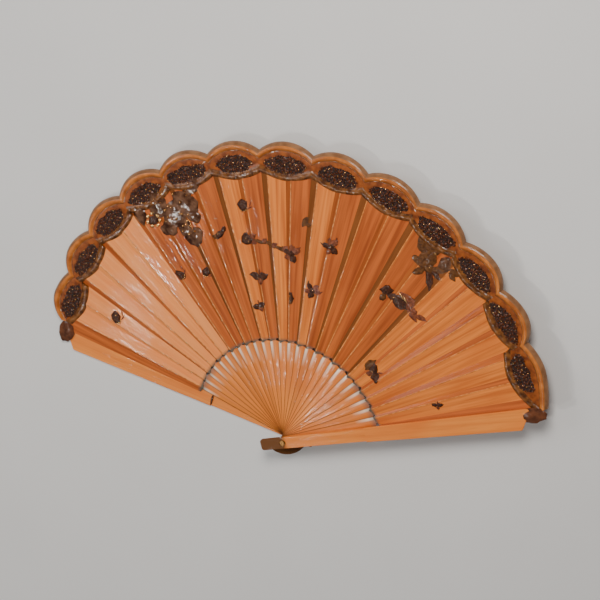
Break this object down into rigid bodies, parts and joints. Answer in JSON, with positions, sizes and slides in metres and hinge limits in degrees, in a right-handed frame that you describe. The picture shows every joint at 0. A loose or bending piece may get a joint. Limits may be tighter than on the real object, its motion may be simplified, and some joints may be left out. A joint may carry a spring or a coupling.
{
  "type": "folding hand fan",
  "caption": "Open folding hand fan: thin wooden sticks and two guards turn on one rivet and carry a pleated leaf with a scalloped, beaded edge.",
  "frame": {"origin": "on the rivet's axis, at the outer face of the back guard, which is the plane the open fan lies on", "axes": "+Z along the rivet, from the back guard to the front guard; +Y along the middle of the open spread; +X towards the front guard"},
  "size_m": [0.439, 0.27, 0.0226],
  "materials": {
    "guard_wood": "satin polished sandalwood, fine straight grain",
    "stick_wood": "thin polished sandalwood, glossy at the shoulders",
    "leaf_veneer": "paper-thin sandalwood veneer on a paper backing, lacquered and glossy",
    "rivet_brass": "aged brass"
  },
  "bodies": {
    "guard_back": {"guard_back": "guard_wood", "rivet": "rivet_brass", "washer_back": "rivet_brass", "washer_front": "rivet_brass", "leaf_end_back": "leaf_veneer"},
    "stick_01": {"stick_01": "stick_wood", "leaf_01": "leaf_veneer"},
    "stick_02": {"stick_02": "stick_wood", "leaf_02": "leaf_veneer"},
    "stick_03": {"stick_03": "stick_wood", "leaf_03": "leaf_veneer"},
    "stick_04": {"stick_04": "stick_wood", "leaf_04": "leaf_veneer"},
    "stick_05": {"stick_05": "stick_wood", "leaf_05": "leaf_veneer"},
    "stick_06": {"stick_06": "stick_wood", "leaf_06": "leaf_veneer"},
    "stick_07": {"stick_07": "stick_wood", "leaf_07": "leaf_veneer"},
    "stick_08": {"stick_08": "stick_wood", "leaf_08": "leaf_veneer"},
    "stick_09": {"stick_09": "stick_wood", "leaf_09": "leaf_veneer"},
    "stick_10": {"stick_10": "stick_wood", "leaf_10": "leaf_veneer"},
    "stick_11": {"stick_11": "stick_wood", "leaf_11": "leaf_veneer"},
    "stick_12": {"stick_12": "stick_wood", "leaf_12": "leaf_veneer"},
    "stick_13": {"stick_13": "stick_wood", "leaf_13": "leaf_veneer"},
    "stick_14": {"stick_14": "stick_wood", "leaf_14": "leaf_veneer"},
    "stick_15": {"stick_15": "stick_wood", "leaf_15": "leaf_veneer"},
    "stick_16": {"stick_16": "stick_wood", "leaf_16": "leaf_veneer"},
    "stick_17": {"stick_17": "stick_wood", "leaf_17": "leaf_veneer"},
    "stick_18": {"stick_18": "stick_wood", "leaf_18": "leaf_veneer"},
    "stick_19": {"stick_19": "stick_wood", "leaf_19": "leaf_veneer"},
    "stick_20": {"stick_20": "stick_wood", "leaf_20": "leaf_veneer"},
    "stick_21": {"stick_21": "stick_wood", "leaf_21": "leaf_veneer"},
    "stick_22": {"stick_22": "stick_wood", "leaf_22": "leaf_veneer"},
    "stick_23": {"stick_23": "stick_wood", "leaf_23": "leaf_veneer"},
    "stick_24": {"stick_24": "stick_wood", "leaf_24": "leaf_veneer"},
    "stick_25": {"stick_25": "stick_wood", "leaf_25": "leaf_veneer"},
    "stick_26": {"stick_26": "stick_wood", "leaf_26": "leaf_veneer"},
    "guard_front": {"guard_front": "guard_wood", "leaf_end_front": "leaf_veneer"}
  },
  "joints": [
    {"name": "pivot_01", "type": "hinge", "parent": "guard_back", "child": "stick_01", "pos_m": [0, 0, 0], "axis": [0, 0, 1], "range_deg": [0, 7.47]},
    {"name": "pivot_02", "type": "hinge", "parent": "stick_01", "child": "stick_02", "pos_m": [0, 0, 0], "axis": [0, 0, 1], "range_deg": [0, 5.45]},
    {"name": "pivot_03", "type": "hinge", "parent": "stick_02", "child": "stick_03", "pos_m": [0, 0, 0], "axis": [0, 0, 1], "range_deg": [0, 5.45]},
    {"name": "pivot_04", "type": "hinge", "parent": "stick_03", "child": "stick_04", "pos_m": [0, 0, 0], "axis": [0, 0, 1], "range_deg": [0, 5.45]},
    {"name": "pivot_05", "type": "hinge", "parent": "stick_04", "child": "stick_05", "pos_m": [0, 0, 0], "axis": [0, 0, 1], "range_deg": [0, 5.45]},
    {"name": "pivot_06", "type": "hinge", "parent": "stick_05", "child": "stick_06", "pos_m": [0, 0, 0], "axis": [0, 0, 1], "range_deg": [0, 5.45]},
    {"name": "pivot_07", "type": "hinge", "parent": "stick_06", "child": "stick_07", "pos_m": [0, 0, 0], "axis": [0, 0, 1], "range_deg": [0, 5.45]},
    {"name": "pivot_08", "type": "hinge", "parent": "stick_07", "child": "stick_08", "pos_m": [0, 0, 0], "axis": [0, 0, 1], "range_deg": [0, 5.45]},
    {"name": "pivot_09", "type": "hinge", "parent": "stick_08", "child": "stick_09", "pos_m": [0, 0, 0], "axis": [0, 0, 1], "range_deg": [0, 5.45]},
    {"name": "pivot_10", "type": "hinge", "parent": "stick_09", "child": "stick_10", "pos_m": [0, 0, 0], "axis": [0, 0, 1], "range_deg": [0, 5.45]},
    {"name": "pivot_11", "type": "hinge", "parent": "stick_10", "child": "stick_11", "pos_m": [0, 0, 0], "axis": [0, 0, 1], "range_deg": [0, 5.45]},
    {"name": "pivot_12", "type": "hinge", "parent": "stick_11", "child": "stick_12", "pos_m": [0, 0, 0], "axis": [0, 0, 1], "range_deg": [0, 5.45]},
    {"name": "pivot_13", "type": "hinge", "parent": "stick_12", "child": "stick_13", "pos_m": [0, 0, 0], "axis": [0, 0, 1], "range_deg": [0, 5.45]},
    {"name": "pivot_14", "type": "hinge", "parent": "stick_13", "child": "stick_14", "pos_m": [0, 0, 0], "axis": [0, 0, 1], "range_deg": [0, 5.45]},
    {"name": "pivot_15", "type": "hinge", "parent": "stick_14", "child": "stick_15", "pos_m": [0, 0, 0], "axis": [0, 0, 1], "range_deg": [0, 5.45]},
    {"name": "pivot_16", "type": "hinge", "parent": "stick_15", "child": "stick_16", "pos_m": [0, 0, 0], "axis": [0, 0, 1], "range_deg": [0, 5.45]},
    {"name": "pivot_17", "type": "hinge", "parent": "stick_16", "child": "stick_17", "pos_m": [0, 0, 0], "axis": [0, 0, 1], "range_deg": [0, 5.45]},
    {"name": "pivot_18", "type": "hinge", "parent": "stick_17", "child": "stick_18", "pos_m": [0, 0, 0], "axis": [0, 0, 1], "range_deg": [0, 5.45]},
    {"name": "pivot_19", "type": "hinge", "parent": "stick_18", "child": "stick_19", "pos_m": [0, 0, 0], "axis": [0, 0, 1], "range_deg": [0, 5.45]},
    {"name": "pivot_20", "type": "hinge", "parent": "stick_19", "child": "stick_20", "pos_m": [0, 0, 0], "axis": [0, 0, 1], "range_deg": [0, 5.45]},
    {"name": "pivot_21", "type": "hinge", "parent": "stick_20", "child": "stick_21", "pos_m": [0, 0, 0], "axis": [0, 0, 1], "range_deg": [0, 5.45]},
    {"name": "pivot_22", "type": "hinge", "parent": "stick_21", "child": "stick_22", "pos_m": [0, 0, 0], "axis": [0, 0, 1], "range_deg": [0, 5.45]},
    {"name": "pivot_23", "type": "hinge", "parent": "stick_22", "child": "stick_23", "pos_m": [0, 0, 0], "axis": [0, 0, 1], "range_deg": [0, 5.45]},
    {"name": "pivot_24", "type": "hinge", "parent": "stick_23", "child": "stick_24", "pos_m": [0, 0, 0], "axis": [0, 0, 1], "range_deg": [0, 5.45]},
    {"name": "pivot_25", "type": "hinge", "parent": "stick_24", "child": "stick_25", "pos_m": [0, 0, 0], "axis": [0, 0, 1], "range_deg": [0, 5.45]},
    {"name": "pivot_26", "type": "hinge", "parent": "stick_25", "child": "stick_26", "pos_m": [0, 0, 0], "axis": [0, 0, 1], "range_deg": [0, 5.45]},
    {"name": "pivot_27", "type": "hinge", "parent": "stick_26", "child": "guard_front", "pos_m": [0, 0, 0], "axis": [0, 0, 1], "range_deg": [0, 6.28]}
  ],
  "couplings": [
    {"joint": "pivot_02", "follows": "pivot_01", "ratio": 0.7291},
    {"joint": "pivot_03", "follows": "pivot_01", "ratio": 0.7291},
    {"joint": "pivot_04", "follows": "pivot_01", "ratio": 0.7291},
    {"joint": "pivot_05", "follows": "pivot_01", "ratio": 0.7291},
    {"joint": "pivot_06", "follows": "pivot_01", "ratio": 0.7291},
    {"joint": "pivot_07", "follows": "pivot_01", "ratio": 0.7291},
    {"joint": "pivot_08", "follows": "pivot_01", "ratio": 0.7291},
    {"joint": "pivot_09", "follows": "pivot_01", "ratio": 0.7291},
    {"joint": "pivot_10", "follows": "pivot_01", "ratio": 0.7291},
    {"joint": "pivot_11", "follows": "pivot_01", "ratio": 0.7291},
    {"joint": "pivot_12", "follows": "pivot_01", "ratio": 0.7291},
    {"joint": "pivot_13", "follows": "pivot_01", "ratio": 0.7291},
    {"joint": "pivot_14", "follows": "pivot_01", "ratio": 0.7291},
    {"joint": "pivot_15", "follows": "pivot_01", "ratio": 0.7291},
    {"joint": "pivot_16", "follows": "pivot_01", "ratio": 0.7291},
    {"joint": "pivot_17", "follows": "pivot_01", "ratio": 0.7291},
    {"joint": "pivot_18", "follows": "pivot_01", "ratio": 0.7291},
    {"joint": "pivot_19", "follows": "pivot_01", "ratio": 0.7291},
    {"joint": "pivot_20", "follows": "pivot_01", "ratio": 0.7291},
    {"joint": "pivot_21", "follows": "pivot_01", "ratio": 0.7291},
    {"joint": "pivot_22", "follows": "pivot_01", "ratio": 0.7291},
    {"joint": "pivot_23", "follows": "pivot_01", "ratio": 0.7291},
    {"joint": "pivot_24", "follows": "pivot_01", "ratio": 0.7291},
    {"joint": "pivot_25", "follows": "pivot_01", "ratio": 0.7291},
    {"joint": "pivot_26", "follows": "pivot_01", "ratio": 0.7291},
    {"joint": "pivot_27", "follows": "pivot_01", "ratio": 0.83947}
  ]
}
